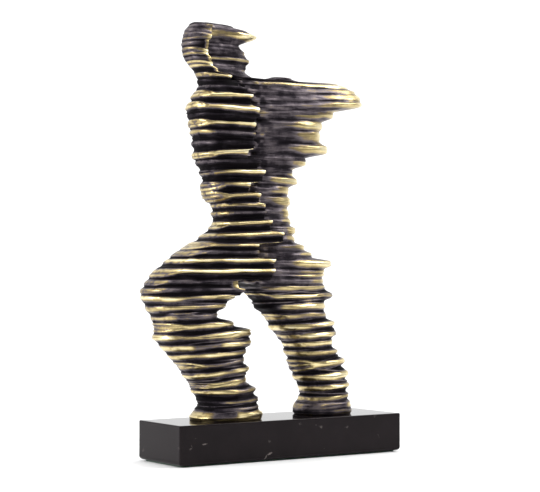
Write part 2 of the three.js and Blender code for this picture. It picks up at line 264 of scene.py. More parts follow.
class Stack:
    """Per-ridge numbers of one stack, and what they are at levels between the ridges.

    Level 0 is the flat foot of the stack, and level i is its i-th ridge. Levels are a column, one per ring.
    """

    def __init__(self, ridges, shapes, styles, depths, centre_y, seed, flare=None, sole=0.0):
        first = ridges[0]
        rows = [(sole, sole, first[2] + 1, first[3] - 1, 0.3), *ridges]
        table = np.array(rows, float)
        self.z_back, self.z_front, self.back, self.front, self.polish = table.T
        self.height = 0.5 * (self.z_back + self.z_front)
        self.depth = np.array([depths[0] - 1, *depths])
        self.flare = look_up(flare, self.z_front) if flare else np.zeros(len(rows))
        self.styles = [styles[0], *styles]
        shapes = [shapes[0], *shapes]
        noses = [shape(b, f, d) for shape, b, f, d in zip(shapes, self.back, self.front, self.depth)]
        self.back_nose, self.front_nose, self.front_power, self.cut = np.array(noses).T
        self.centre_y = centre_y
        self.seed = seed
        self.gap = np.diff(self.height)
        self.count = len(rows)

    def levels(self):
        parts = []
        for i, gap in enumerate(self.gap):
            steps = max(4, round(gap / ROW_STEP))
            parts.append(i + np.arange(steps) / steps)
        return np.concatenate([*parts, [self.count - 1.0]])[:, None]

    def at(self, values, levels):
        return np.interp(levels, np.arange(self.count), values)

    def look(self, key, levels):
        return self.at([style[key] for style in self.styles], levels)

    def look_above(self, key, levels):
        """A style number of the ridge at or above each level."""
        return np.array([style[key] for style in self.styles])[np.ceil(levels).astype(int)]

    def ridge_below(self, levels):
        return np.clip(np.floor(levels).astype(int), 0, self.count - 2)

    def stepped(self, values, levels):
        """As at(), but a blunt ridge keeps its own value over its thickness, and a cut one hangs down."""
        low = self.ridge_below(levels)
        share = levels - low
        hanging = self.cut[low + 1] > 0.5
        blunt = 0.5 * self.look("blunt", levels)
        share = np.where(hanging, smoothstep(0.08, 0.26, share), smoothstep(blunt, 1 - blunt, share))
        return values[low] * (1 - share) + values[low + 1] * share

    def longest(self, levels):
        """Front X of the longer of the two ridges that a level lies between."""
        low = self.ridge_below(levels)
        return np.maximum(self.front[low], self.front[low + 1])

    def groove_depth(self, levels):
        middles = np.arange(self.count - 1) + 0.5
        depth = np.minimum(GROOVE_RATIO * self.gap, GROOVE_MAX)
        depth[0] *= 0.25
        return np.interp(levels, middles, depth) * self.look("groove", levels)


def superellipse(share, nose, depth, power):
    """How far in from the end, and how far off the centre line, at a share from 0 to 1 of a nose."""
    angle = 0.5 * np.pi * np.clip(share, 0, 1)
    return nose * (1 - np.cos(angle) ** (2 / power)), depth * np.sin(angle) ** (2 / power)


def outline(stack, levels, inset):
    """X and Y of every point of the rings at these levels, pulled in by inset.

    Each half of a ring runs from the back end to the front: a back nose, a straight side, a front nose.
    """
    near = np.linspace(0, 1, NEAR_COLUMNS, endpoint=False)
    far = np.linspace(1, 0, FAR_COLUMNS, endpoint=False)
    along = np.concatenate([near, far])
    side = np.concatenate([-np.ones(NEAR_COLUMNS), np.ones(FAR_COLUMNS)])
    back = stack.at(stack.back, levels) + inset
    front = stack.stepped(stack.front, levels) - inset * (1 - 0.9 * stack.at(stack.cut, levels))
    depth = stack.at(stack.depth, levels) - inset
    flare = stack.at(stack.flare, levels)
    back_nose = stack.at(stack.back_nose, levels)
    front_nose = stack.stepped(stack.front_nose, levels)
    length = front - back
    squeeze = np.minimum(1.0, 0.98 * length / (back_nose + front_nose))
    back_nose, front_nose = back_nose * squeeze, front_nose * squeeze
    back_arc = QUARTER_ARC * (back_nose + depth)
    front_arc = QUARTER_ARC * (front_nose + depth)
    straight = np.maximum(length - back_nose - front_nose, 0.01)
    whole = back_arc + straight + front_arc
    first, second = back_arc / whole, (back_arc + straight) / whole
    back_in, back_y = superellipse(along / first, back_nose, depth, ROUND_POWER)
    power = stack.at(stack.front_power, levels)
    front_in, front_y = superellipse((1 - along) / (1 - second), front_nose, depth + flare, power)
    share = np.clip((along - first) / (second - first), 0, 1)
    side_x = back + back_nose + straight * share
    side_y = depth + flare * smoothstep(0, 1, share)
    x = np.where(along < first, back + back_in, np.where(along > second, front - front_in, side_x))
    y = side * np.where(along < first, back_y, np.where(along > second, front_y, side_y))
    return x, y


def ridge_profile(stack, levels, level, style, scale=1.0):
    """How high a ridge stands, and how far it is polished bright, across its section: both 0 to 1."""
    gaps = np.append(stack.gap, stack.gap[-1])
    low = np.clip(np.floor(level).astype(int), 0, stack.count - 1)
    above = gaps[low]
    below = gaps[np.maximum(low - (level == low), 0)]
    offset = levels - level
    over = offset > 0
    gap = np.where(over, above, below)
    reach = np.abs(offset) * gap
    width = scale * (np.where(over, style["rise"], style["fall"]) * gap + style["edge"])
    crest = np.exp(-(reach / width) ** style["power"])
    gold = np.exp(-(reach / (style["gold"] * width)) ** np.where(over, 3.5, style["under"]))
    return crest, gold


class Relief:
    """Crest height from 0 to 1, and how bright the crests are polished, over a whole stack; the thigh
    ridges' back ends get painted shade and the ankle ridges' back ends are darker.
    """

    def __init__(self, stack, levels, x, y):
        self.stack, self.levels, self.x, self.y = stack, levels, x, y
        self.hollow = np.ones(x.shape)
        self.bright = np.zeros(x.shape)
        self.from_back = x - stack.at(stack.back, levels)
        self.from_front = stack.stepped(stack.front, levels) - x
        self.from_tip = stack.longest(levels) - x
        nearest = np.minimum(self.from_back, self.from_front)
        self.ends = np.clip(1 - nearest / END_REACH, 0, 1)
        height = stack.at(stack.height, levels)
        self.mottle = noise(x / 3.5, y / 5, height / 2.6, stack.seed + 17)
        self.lumps = np.clip(stack.look("lumps", levels) * (1 - smoothstep(-38, -8, x)), 0, 1)
        specks = smoothstep(0.1, 0.5, noise(x / 2.4, y / 2.4, height / 1.5, stack.seed + 18))
        self.specks = specks * (1 - smoothstep(4, 16, self.from_back)) * stack.look("specks", levels)
        for i in range(1, stack.count):
            self.ridge(i)
        sole = np.flatnonzero(levels < 1)
        self.raise_crest(sole, 0, 0.95, 0.7 * stack.polish[1], stack.styles[1], 1.6)

    def raise_crest(self, rows, level, amount, rub, style, scale=1.0):
        crest, gold = ridge_profile(self.stack, self.levels[rows], level, style, scale)
        self.hollow[rows] *= 1 - np.clip(amount, 0, 1) * crest
        self.bright[rows] = np.maximum(self.bright[rows], rub * gold)

    def score(self, rows, level, i, amount, width):
        offset = (self.levels[rows] - level) * self.stack.gap[i - 1]
        cut = amount * np.exp(-(offset / width) ** 2)
        self.hollow[rows] = 1 - (1 - self.hollow[rows]) * (1 - cut)
        self.bright[rows] *= 1 - 1.6 * np.minimum(cut, 0.6)

    def ridge(self, i):
        """One ridge's crest, with its forks, the fine strands below it and a scored line."""
        stack, style = self.stack, self.stack.styles[i]
        rows = np.flatnonzero(np.abs(self.levels - i) < 1.4)
        x, y = self.x[rows], self.y[rows]
        grain = lambda size, change, shift: noise(x / size, y / 30, i * change, stack.seed + shift)
        luck = lambda shift, step=0: chance(4 * i + step, stack.seed + shift)
        polish = stack.polish[i]
        centre = i + style["wander"] * grain(20, 1.0, 0)
        height = style["dull"] + (1 - style["dull"]) * polish
        height = height + (0.97 - height) * self.ends[rows]
        patchy = 1 - style["patchy"] * smoothstep(-0.1, 0.7, grain(13, 3.1, 1))
        swell = 1 + style["swell"] * grain(17, 4.7, 16)
        near_back = 1 - smoothstep(3, 14, self.from_back[rows])
        rub = np.maximum(polish * patchy, min(style["back_rub_and_darkening"], 2 * polish) * near_back)
        # A negative back-end value darkens the back end instead: painted shade at the thighs, plain
        # darkening at the ankles.
        rub = rub * (1 - max(-style["back_rub_and_darkening"], 0) * near_back)
        start = style["fork_start"] * (0.5 + luck(3))
        gone = smoothstep(0, 1, (start - self.from_back[rows]) / start)
        ways = [way for way in (0, 1) if luck(2, way) <= style["forks"] and polish > 0.3]
        whole = 1 - style["split"] * len(ways) * smoothstep(0.3, 0.75, gone)
        self.raise_crest(rows, centre, height * whole, rub * whole, style, swell)
        for way in ways:
            reach = (2 * way - 1) * (0.30 + 0.14 * luck(4, way))
            level = np.clip(centre + reach * gone, 0, stack.count - 1.001)
            amount = 0.9 * smoothstep(0, 0.3, gone)
            rub = min(1.6 * polish, 0.9) * amount * patchy
            self.raise_crest(rows, level, amount, rub, style, style["prong"])
        self.strands(i, rows, style, patchy, grain, luck)
        if luck(9) < style["scores"]:
            level = centre + 0.12 * grain(26, 1.3, 10)
            amount = 0.35 * smoothstep(0.0, 0.5, grain(18, 2.9, 14))
            self.score(rows, level, i, amount, 0.45)

    def strands(self, i, rows, style, patchy, grain, luck):
        """Fine ridges in the hollow below ridge i."""
        stack = self.stack
        along = (self.x[rows] - 0.5 * (stack.back[i] + stack.front[i])) / (stack.front[i] - stack.back[i])
        for k in range(style["strands"] if stack.gap[i - 1] > THIN_RIDGE_GAP else 1):
            slope = style["slant"] * (2 * luck(5, k) - 1)
            offset = 0.2 + 0.6 * luck(6, k) + slope * along + 0.06 * grain(20, 1.7 + k, 7)
            level = i - 1 + np.clip(offset, 0.08, 0.92)
            amount = style["between"] * smoothstep(-0.4, 0.4, grain(24, 2.3 + k, 8))
            self.raise_crest(rows, level, amount, style["strand_gold"] * amount * patchy, style, 0.3)


# How a ridge looks. Lengths are shares of the gap to the next ridge, except edge, ends, starts and
# fork_start, which are millimetres; forks and scores are chances.
LEG_STYLE = {
    "power": 2.2, "rise": 0.27, "fall": 0.27, "edge": 0.4, "gold": 0.9, "under": 1.7, "dull": 0.62,
    "groove": 0.9, "forks": 0.3, "fork_start": 14, "split": 0.1, "prong": 0.5, "between": 0.6,
    "strands": 2, "strand_gold": 0.8, "slant": 0.7, "scores": 0.6, "wander": 0.10, "patchy": 0.4,
    "swell": 0.3, "blunt": 0.2, "tips": 0, "ends": 0, "back_rub_and_darkening": 0.75, "lumps": 0, "starts": -200,
    "specks": 0.35,
}
# Painted shade: the thigh ridges' back ends, in the crotch, are darkened.
THIGH_STYLE = {**LEG_STYLE, "back_rub_and_darkening": -0.8}
# The ankle ridges are darker towards their back ends.
ANKLE_STYLE = {**LEG_STYLE, "back_rub_and_darkening": -0.9, "gold": 0.6, "forks": 0}
HEEL_STYLE = {**LEG_STYLE, "rise": 0.7, "groove": 0.8, "patchy": 0.6, "forks": 0, "scores": 0}
FOOT_STYLE = {
    **LEG_STYLE, "rise": 0.5, "fall": 0.5, "groove": 0.3, "between": 0.3, "dull": 0.9, "blunt": 0.5,
    "back_rub_and_darkening": 0, "patchy": 0.75,
}
REAR_STYLE = {
    **LEG_STYLE, "power": 2.4, "rise": 0.12, "fall": 0.17, "edge": 0.8, "gold": 1.0, "dull": 0.55,
    "groove": 1.0, "forks": 0.5, "fork_start": 13, "split": 0.12, "prong": 0.7, "between": 0.45,
    "strand_gold": 0.3, "slant": 0.2, "scores": 0.2, "wander": 0.05, "patchy": 0.3, "swell": 0.2,
    "blunt": 0.5, "ends": 1, "specks": 0.5,
}
KNOB_STYLE = {**REAR_STYLE, "ends": 5}
HALF_RUBBED_STYLE = {**REAR_STYLE, "starts": -66}
BACK_OF_HEAD_STYLE = {
    **REAR_STYLE, "rise": 0.18, "fall": 0.20, "patchy": 0.4, "groove": 0.75, "ends": 3, "forks": 1,
    "fork_start": 18, "back_rub_and_darkening": 0.8, "split": 0.3, "specks": 0.2,
}
FRONT_STYLE = {
    **LEG_STYLE, "power": 3.6, "rise": 0.40, "fall": 0.43, "edge": 0.3, "gold": 0.95, "under": 2.6,
    "dull": 0.78, "groove": 0.85, "forks": 0, "between": 0.25, "strands": 1, "strand_gold": 0.7,
    "slant": 0.3, "scores": 0.3, "wander": 0.07, "patchy": 0.25, "swell": 0.2, "blunt": 0.5, "tips": 1,
    "back_rub_and_darkening": 0, "lumps": 1, "split": 0, "specks": 0,
}
SLEEVE_STYLE = {**FRONT_STYLE, "groove": 0.42, "between": 0.2, "blunt": 0.3, "tips": 0.9}
SHOULDER_STYLE = {**FRONT_STYLE, "tips": 0.3, "lumps": 0}
SEAM_STYLE = {**SLEEVE_STYLE, "gold": 0.9, "tips": 0.3, "patchy": 0.1, "starts": -34}
FACE_STYLE = {
    **FRONT_STYLE, "fall": 0.42, "edge": 0.6, "gold": 0.5, "groove": 0.55, "between": 0.15,
    "blunt": 0.15, "scores": 0.1, "tips": 0.6, "lumps": 0.15,
}
LIP_STYLE = {**FACE_STYLE, "rise": 0.2, "fall": 0.2, "gold": 0.55, "tips": 0.15, "lumps": 0}
VISOR_STYLE = {
    **FACE_STYLE, "rise": 0.5, "fall": 0.5, "gold": 0.9, "tips": 0.35, "groove": 0.5, "patchy": 0.1,
}
CAP_STYLE = {**FACE_STYLE, "groove": 0.15, "blunt": 0, "scores": 0, "wander": 0.03}
HALF_RUBBED_RIDGE = 11
# Cap on the painted highlights of the lumps beside the crease.
LUMP_PAINTED_HIGHLIGHT = 0.42
# Painted sheen on the front stack's patina: one level on the crests, one in the hollows.
FRONT_PAINTED_SHEEN = 0.31
HOLLOW_PAINTED_SHEEN = 0.05


def polished_ends_and_painted_sheen(stack, levels, relief, crest):
    """Brightness after the ends are polished and the front stack gets painted sheen and painted highlights,
    and how far the square ends are raised into a rim.
    """
    tips, starts = stack.look("tips", levels), stack.look("starts", levels)
    ends = stack.look_above("ends", levels)
    reach = np.clip((stack.at(stack.front, levels) + 45) / 80, 0.5, 1.7)
    ragged = 5 * noise(relief.x / 30, relief.y / 30, levels * 5.3, stack.seed + 15)
    from_front = (relief.from_tip + ragged) / reach
    along_crest = 1 - smoothstep(14, 62, from_front)
    over_all = 1 - smoothstep(4, 36, from_front)
    plain = 0.37 + 0.10 * smoothstep(1.2, 1.5, reach)
    tip = np.maximum(relief.bright * along_crest, over_all * (plain + (1 - plain) * crest ** 2))
    bright = relief.bright * smoothstep(starts, starts + 28, relief.x) * (1 - tips) + tip * tips
    # Painted sheen: the front stack's patina is lifted to a grey sheen, brighter on the crests.
    bright = np.maximum(bright, (HOLLOW_PAINTED_SHEEN + (FRONT_PAINTED_SHEEN - HOLLOW_PAINTED_SHEEN) * crest) * (tips > 0))
    bright = bright * (1 - 0.55 * relief.specks)
    knob = 1 - smoothstep(1.5, 6, relief.from_front)
    edge = 1 - smoothstep(0.7 * ends, 1.8 * ends + 0.01, relief.from_front)
    bright = bright * (1 + 0.5 * np.minimum(ends, 1) * knob)
    # Painted highlights on the lumps beside the crease, held below the gold.
    lumps = 1.1 * relief.lumps * np.clip(relief.mottle - 0.15, -0.15, 1)
    bright = bright + np.minimum(lumps, np.maximum(LUMP_PAINTED_HIGHLIGHT - bright, 0))
    bright = bright - (0.04 + 0.06 * stack.at(stack.cut, levels)) * (1 - crest) * (tips <= 0)
    rim = np.clip(0.5 * (ends - 1), 0, 1) * edge
    return np.maximum(bright, 0.65 * rim), rim


def stack_points(stack):
    """Grid of points (rows, columns, 3) in millimetres above the marble, and each point's brightness."""
    levels = stack.levels()
    x, y = outline(stack, levels, 0)
    relief = Relief(stack, levels, x, y)
    crest = 1 - relief.hollow
    bright, rim = polished_ends_and_painted_sheen(stack, levels, relief, crest)
    crest = np.maximum(crest, 0.75 * rim)
    height = stack.at(stack.height, levels)
    depth = stack.groove_depth(levels) * (1 - 0.4 * (1 - smoothstep(0, 18, relief.from_back)))
    inset = depth * (1 - crest)
    inset = inset - 0.26 * noise(x / 14, y / 14, height / 1.1, stack.seed + 11)
    inset = inset - 0.34 * noise(x / 9, y / 12, height / 3.0, stack.seed + 12)
    inset = inset + 0.35 * relief.specks - 0.7 * relief.mottle * relief.lumps
    x, y = outline(stack, levels, inset)
    back, front = stack.at(stack.back, levels), stack.at(stack.front, levels)
    tilt = np.clip((x - back) / (front - back), 0, 1.3)
    z_back, z_front = stack.at(stack.z_back, levels), stack.at(stack.z_front, levels)
    wave = 0.45 * noise(x / 24, y / 30, height / 9, stack.seed + 13)
    z = z_back + (z_front - z_back) * tilt + wave * smoothstep(0, 1.2, levels)
    return np.stack([x, y + stack.centre_y, z], axis=2), bright


def with_crown(points, bright, rise):
    """Close the top with a low dome of shrinking rings."""
    last = points[-1]
    centre = last.mean(axis=0)
    rings, lights = [points], [bright]
    for k in range(1, CROWN_STEPS + 1):
        angle = 0.5 * np.pi * k / CROWN_STEPS
        shrink = 1 - CROWN_REACH * (1 - math.cos(angle))
        ring = last.copy()
        ring[:, 0] = centre[0] + (last[:, 0] - centre[0]) * (0.5 + 0.5 * shrink)
        ring[:, 1] = centre[1] + (last[:, 1] - centre[1]) * shrink
        ring[:, 2] = last[:, 2] + rise * math.sin(angle)
        rings.append(ring[None])
        lights.append(np.full((1, last.shape[0]), CROWN_SHEEN))
    return np.concatenate(rings), np.concatenate(lights)


# ---- meshes
def quads(rows, columns, wrap=False):
    """Faces between rings of points, and from the last ring back to the first if they wrap."""
    faces = []
    for r in range(rows if wrap else rows - 1):
        here, after = r * columns, (r + 1) % rows * columns
        for c in range(columns):
            d = (c + 1) % columns
            faces.append((here + c, after + c, after + d, here + d))
    return faces


def closed_faces(rows, columns):
    """Quads around a closed pile of rings, with a triangle fan at each end."""
    faces = [(a, d, c, b) for a, b, c, d in quads(rows, columns)]
    under, over, top = rows * columns, rows * columns + 1, (rows - 1) * columns
    for c in range(columns):
        d = (c + 1) % columns
        faces += [(under, d, c), (over, top + c, top + d)]
    return faces


def add_object(name, data):
    obj = bpy.data.objects.new(name, data)
    bpy.context.collection.objects.link(obj)
    return obj


def new_object(name, vertices, faces):
    mesh = bpy.data.meshes.new(name)
    mesh.from_pydata(vertices, [], faces)
    return add_object(name, mesh)


def pile(name, points, bright=None):
    """A closed mesh over rings of points (rows, columns, 3) in millimetres."""
    rows, columns = points.shape[:2]
    ends = np.array([points[0].mean(axis=0), points[-1].mean(axis=0)])
    vertices = np.concatenate([points.reshape(-1, 3), ends]) * MM
    obj = new_object(name, vertices.tolist(), closed_faces(rows, columns))
    if bright is not None:
        # This attribute holds the polish, with painted sheen, painted highlights and painted shade mixed
        # in.
        layer = obj.data.attributes.new("rub_and_painted_light", "FLOAT", "POINT")
        layer.data.foreach_set("value", np.concatenate([bright.ravel(), [END_SHEEN, END_SHEEN]]))
    return obj


def merge(target, others, operation="UNION"):
    """Join the others into target, or cut them from it, and delete them."""
    for other in others:
        modifier = target.modifiers.new("join", "BOOLEAN")
        modifier.operation = operation
        modifier.solver = "MANIFOLD"
        modifier.object = other
    graph = bpy.context.evaluated_depsgraph_get()
    mesh = bpy.data.meshes.new_from_object(target.evaluated_get(graph))
    target.modifiers.clear()
    target.data = mesh
    for other in others:
        bpy.data.objects.remove(other)
    return target


# ---- figure
def sway(ridges, table):
    heights = np.array([(ridge[0] + ridge[1]) / 2 for ridge in ridges])
    return look_up(table, heights) + SWAY * np.sin(2.4 * np.arange(len(ridges)))


def casting_part(name, stack, rise):
    points, bright = with_crown(*stack_points(stack), rise)
    return pile(name, points + (0, 0, BASE_TOP), bright)


def rear_part():
    ridges = [*REAR_LEG, *REAR_BODY, *REAR_HEAD]
    legs, body, head = len(REAR_LEG), len(REAR_BODY), len(REAR_HEAD)
    shapes = [leg_shape] * (legs - 1) + [rear_shape] * (1 + body) + [nape_shape] * head
    styles = [HEEL_STYLE] + [ANKLE_STYLE] * 2 + [LEG_STYLE] * (legs - 4) + [REAR_STYLE, KNOB_STYLE]
    styles += [REAR_STYLE] * (body - 1) + [BACK_OF_HEAD_STYLE] * (head - 2) + [CAP_STYLE] * 2
    styles[legs + HALF_RUBBED_RIDGE] = HALF_RUBBED_STYLE
    stack = Stack(ridges, shapes, styles, sway(ridges, REAR_HALF_DEPTH), REAR_CENTRE_Y, seed=10)
    return casting_part("figure_bronze", stack, rise=2.2)


def front_part():
    ridges = [*FRONT_LEG, *FRONT_BODY, *FRONT_HEAD]
    legs, body, head = len(FRONT_LEG), len(FRONT_BODY), len(FRONT_HEAD)
    shapes = [leg_shape] * legs + [front_shape] * (body + head)
    styles = [FOOT_STYLE] * 2 + [LEG_STYLE] * (legs - 5) + [THIGH_STYLE] * 3 + [FRONT_STYLE] * (body - 5)
    styles += [SLEEVE_STYLE] * 3 + [SEAM_STYLE, SLEEVE_STYLE]
    styles += [FACE_STYLE] * 2 + [LIP_STYLE] + [FACE_STYLE] * 2 + [VISOR_STYLE] + [CAP_STYLE] * 2
    depths = sway(ridges, FRONT_HALF_DEPTH)
    stack = Stack(ridges, shapes, styles, depths, FRONT_CENTRE_Y, seed=20, flare=FRONT_FLARE)
    return casting_part("front_part", stack, rise=2.0)


def far_shoulder_part():
    count = len(FAR_SHOULDER)
    shapes, styles, depths = [leg_shape] * count, [SHOULDER_STYLE] * count, [SHOULDER_HALF_DEPTH] * count
    stack = Stack(FAR_SHOULDER, shapes, styles, depths, SHOULDER_CENTRE_Y, seed=30, sole=SHOULDER_SOLE)
    return casting_part("shoulder_part", stack, rise=0.6)


def make_figure():
    figure = merge(rear_part(), [front_part(), far_shoulder_part()])
    figure.data.shade_smooth()
    return figure


# ---- node helpers
class Nodes:
    """Short names for building a node tree. Any value may also be another node's output."""

    def __init__(self, tree):
        self.tree = tree

    def feed(self, socket, value):
        if isinstance(value, bpy.types.NodeSocket):
            self.tree.links.new(value, socket)
        else:
            socket.default_value = value

    def node(self, kind, settings=None, **inputs):
        node = self.tree.nodes.new("ShaderNode" + kind)
        for name, value in (settings or {}).items():
            setattr(node, name, value)
        for label, value in inputs.items():
            self.feed(node.inputs[label.replace("_", " ")], value)
        return node

    def place(self, scale=(1, 1, 1)):
        """Object position in millimetres, stretched by scale."""
        where = self.node("TexCoord").outputs["Object"]
        return self.node("Mapping", Vector=where, Scale=[1000 * s for s in scale]).outputs["Vector"]

    def noise(self, scale, stretch=(1, 1, 1), detail=3, rough=0.55, distort=0.0):
        look = {"Scale": scale, "Detail": detail, "Roughness": rough, "Distortion": distort}
        return self.node("TexNoise", Vector=self.place(stretch), **look).outputs["Fac"]

    def attribute(self, name):
        return self.node("Attribute", {"attribute_name": name}).outputs["Fac"]

    def voronoi(self, scale, stretch, feature="F1"):
        """Distance to the nearest cell's middle, or to the nearest edge between cells."""
        where = self.place(stretch)
        return self.node("TexVoronoi", {"feature": feature}, Vector=where, Scale=scale).outputs["Distance"]

    def length(self, vector):
        return self.node("VectorMath", {"operation": "LENGTH"}, Vector=vector).outputs["Value"]

    def streak(self, middle, tilt, size, strength):
        """A short soft-edged mark: an ellipsoid in the object's own space."""
        mapping = self.node(
            "Mapping", {"vector_type": "TEXTURE"},
            Vector=self.node("TexCoord").outputs["Object"],
            Location=[v * MM for v in middle],
            Rotation=(0, -math.radians(tilt), 0),
            Scale=[v * MM for v in size],
        )
        ragged = self.spread(self.noise(0.9), 0.3, 0.7, -0.3, 0.3)
        reach = self.math("ADD", self.length(mapping.outputs["Vector"]), ragged)
        return self.spread(reach, 0.5, 1.0, strength, 0.0)

    def math(self, operation, first, second, clamp=False):
        node = self.node("Math", {"operation": operation, "use_clamp": clamp})
        self.feed(node.inputs[0], first)
        self.feed(node.inputs[1], second)
        return node.outputs[0]

    def spread(self, value, low, high, to_low=0.0, to_high=1.0):
        """Eased from to_low, where value is low, to to_high, where it is high."""
        span = {"From_Min": low, "From_Max": high, "To_Min": to_low, "To_Max": to_high}
        ease = {"interpolation_type": "SMOOTHSTEP"}
        return self.node("MapRange", ease, Value=value, **span).outputs["Result"]

    def ramp(self, value, stops):
        node = self.node("ValToRGB", Fac=value)
        elements = node.color_ramp.elements
        while len(elements) < len(stops):
            elements.new(1.0)
        for element, (position, colour) in zip(elements, stops):
            element.position = position
            element.color = (*colour, 1.0)
        return node.outputs["Color"]

    def mix(self, factor, first, second):
        node = self.node("Mix", {"data_type": "RGBA"}, Factor=factor)
        for socket, value in ((node.inputs[6], first), (node.inputs[7], second)):
            self.feed(socket, (*value, 1.0) if isinstance(value, tuple) else value)
        return node.outputs[2]


class Material(Nodes):
    def __init__(self, name):
        self.material = bpy.data.materials.new(name)
        self.material.use_nodes = True
        super().__init__(self.material.node_tree)
        self.tree.nodes.clear()
        self.shader = self.node("BsdfPrincipled")
        self.output = self.node("OutputMaterial", Surface=self.shader.outputs[0])

    def set(self, **values):
        for label, value in values.items():
            self.feed(self.shader.inputs[label.replace("_", " ")], value)

    def bump(self, height, distance, strength):
        node = self.node("Bump", Height=height, Distance=distance * MM, Strength=strength)
        self.set(Normal=node.outputs["Normal"])


# ---- materials
def bronze_material():
    """Black-brown patina in the hollows, polished back to pale gold on the ridges, with painted sheen,
    highlights and shade from the mesh's brightness attribute.
    """
    m = Material("patinated_bronze")
    streaks = m.noise(1.0, (0.05, 0.08, 0.6), rough=0.5)
    blotches = m.noise(0.11)
    grain = m.noise(1.6)
    # The mesh's brightness attribute mixes polish with painted sheen, painted highlights and painted shade.
    wear_and_painted_light = m.math("ADD", m.attribute("rub_and_painted_light"), m.spread(streaks, 0.25, 0.75, -0.13, 0.05))
    wear_and_painted_light = m.math("ADD", wear_and_painted_light, m.spread(blotches, 0.3, 0.7, -0.06, 0.06))
    wear_and_painted_light = m.math("ADD", wear_and_painted_light, m.spread(grain, 0.3, 0.7, -0.03, 0.03), clamp=True)
    colour = m.ramp(wear_and_painted_light, [
        (0.0, (0.004, 0.003, 0.004)),
        (0.16, (0.022, 0.018, 0.023)),
        (0.32, (0.105, 0.089, 0.099)),
        (0.39, (0.155, 0.132, 0.135)),
        (0.46, (0.19, 0.145, 0.085)),
        (0.62, (0.42, 0.33, 0.155)),
        (0.82, (0.72, 0.60, 0.32)),
        (1.0, (0.88, 0.79, 0.52)),
    ])
    metallic, roughness = m.spread(wear_and_painted_light, 0.04, 0.36), m.spread(wear_and_painted_light, 0.05, 0.7, 0.60, 0.30)
    m.set(Base_Color=colour, Metallic=metallic, Roughness=roughness, Specular_IOR_Level=0.03)
    m.bump(m.math("ADD", m.math("MULTIPLY", streaks, 0.7), m.math("MULTIPLY", grain, 0.3)), 0.3, 0.35)
    return m.material


# Natural marks in the marble: middle (mm), tilt in the upright plane (degrees), size (mm), strength.
MARBLE_MARKS = [
    ((-79.5, -30, 16), 5, (2.2, 4, 0.6), 0.6),
    ((-26.5, -30, 3.2), 62, (2.0, 4, 0.7), 0.5),
    ((-23, -30, 5.8), 22, (2.8, 4, 0.8), 0.6),
]
HONED = 0.16
POLISHED = 0.03


def marble_material():
    """Black marble, polished on top, honed at the sides, with faint clouding, flecks and hairline veins."""
    m = Material("black_marble")
    clouds = m.noise(0.035, detail=5, rough=0.6)
    base = m.ramp(clouds, [
        (0.3, (0.0062, 0.0047, 0.0053)),
        (0.7, (0.0112, 0.0084, 0.0094)),
    ])
    bent = m.noise(0.09, distort=1.0)
    cells = m.voronoi(0.035, (0.9, 0.9, 1.2), "DISTANCE_TO_EDGE")
    vein = m.spread(m.math("ADD", cells, m.spread(bent, 0.2, 0.8, -0.06, 0.06)), 0.002, 0.012, 1.0, 0.0)
    broken = m.spread(m.noise(0.10, detail=2), 0.60, 0.70)
    vein = m.math("MULTIPLY", m.math("MULTIPLY", vein, broken), 0.3)
    specks = m.spread(m.voronoi(0.06, (0.6, 0.6, 1.6)), 0.04, 0.09, 1.0, 0.0)
    fleck = m.math("MULTIPLY", specks, m.spread(m.noise(0.3, detail=4), 0.5, 0.65))
    pale = m.math("MAXIMUM", vein, m.math("MULTIPLY", fleck, 0.2), clamp=True)
    for mark in MARBLE_MARKS:
        pale = m.math("MAXIMUM", pale, m.streak(*mark))
    height, top = m.node("SeparateXYZ", Vector=m.place()).outputs["Z"], marble_high[2]
    polish = m.spread(height, top - MARBLE_TOP_ARRIS, top - 0.1, HONED, POLISHED)
    roughness = m.math("ADD", polish, m.spread(clouds, 0.3, 0.7, 0.0, 0.02))
    m.set(Base_Color=m.mix(pale, base, (0.23, 0.20, 0.19)), Roughness=roughness)
    m.set(IOR=1.5, Specular_IOR_Level=0.11, Specular_Tint=(1.0, 0.91, 0.94, 1.0))
    m.bump(m.noise(0.08), 0.02, 0.2)
    return m.material


def felt_material():
    m = Material("green_felt")
    fibres = m.noise(1.8, (1, 1, 3), detail=6, rough=0.7, distort=2.0)
    mottling = m.noise(0.12, detail=4)
    m.set(Base_Color=m.mix(fibres, (0.012, 0.032, 0.020), (0.045, 0.095, 0.062)))
    m.set(Roughness=m.spread(mottling, 0.3, 0.7, 0.9, 1.0))
    m.set(Sheen_Weight=0.4, Sheen_Roughness=0.5, Specular_IOR_Level=0.2)
    m.bump(fibres, 0.3, 0.8)
    return m.material


def metal_material(name, dark, light, rough, line_stretch=1):
    """Plain metal with machining lines and handling marks."""
    m = Material(name)
    lines = m.noise(1.2, (0.4, 0.4, line_stretch))
    marks = m.noise(0.35, detail=5)
    roughness = m.spread(lines, 0.3, 0.7, rough - 0.07, rough + 0.10)
    m.set(Base_Color=m.mix(marks, dark, light), Roughness=roughness, Metallic=1.0)
    m.bump(lines, 0.04, 0.5)
    return m.material


# ---- base pieces
CORNER_STEPS = 6
FLAT_STRIP = 0.5


def rounded_rectangle(length, width, corner):
    """A narrow flat strip at both ends of each corner keeps its smooth shading off the straight sides."""
    points = []
    for quarter, (sx, sy) in enumerate(((1, 1), (-1, 1), (-1, -1), (1, -1))):
        middle = np.array([sx * (length / 2 - corner), sy * (width / 2 - corner)])
        angles = (quarter + np.linspace(0, 1, CORNER_STEPS + 1)) * math.pi / 2
        arc = middle + corner * np.stack([np.cos(angles), np.sin(angles)], axis=1)
        ahead = FLAT_STRIP * np.stack([-np.sin(angles), np.cos(angles)], axis=1)
        points += [arc[0] - ahead[0], *arc, arc[-1] + ahead[-1]]
    return points


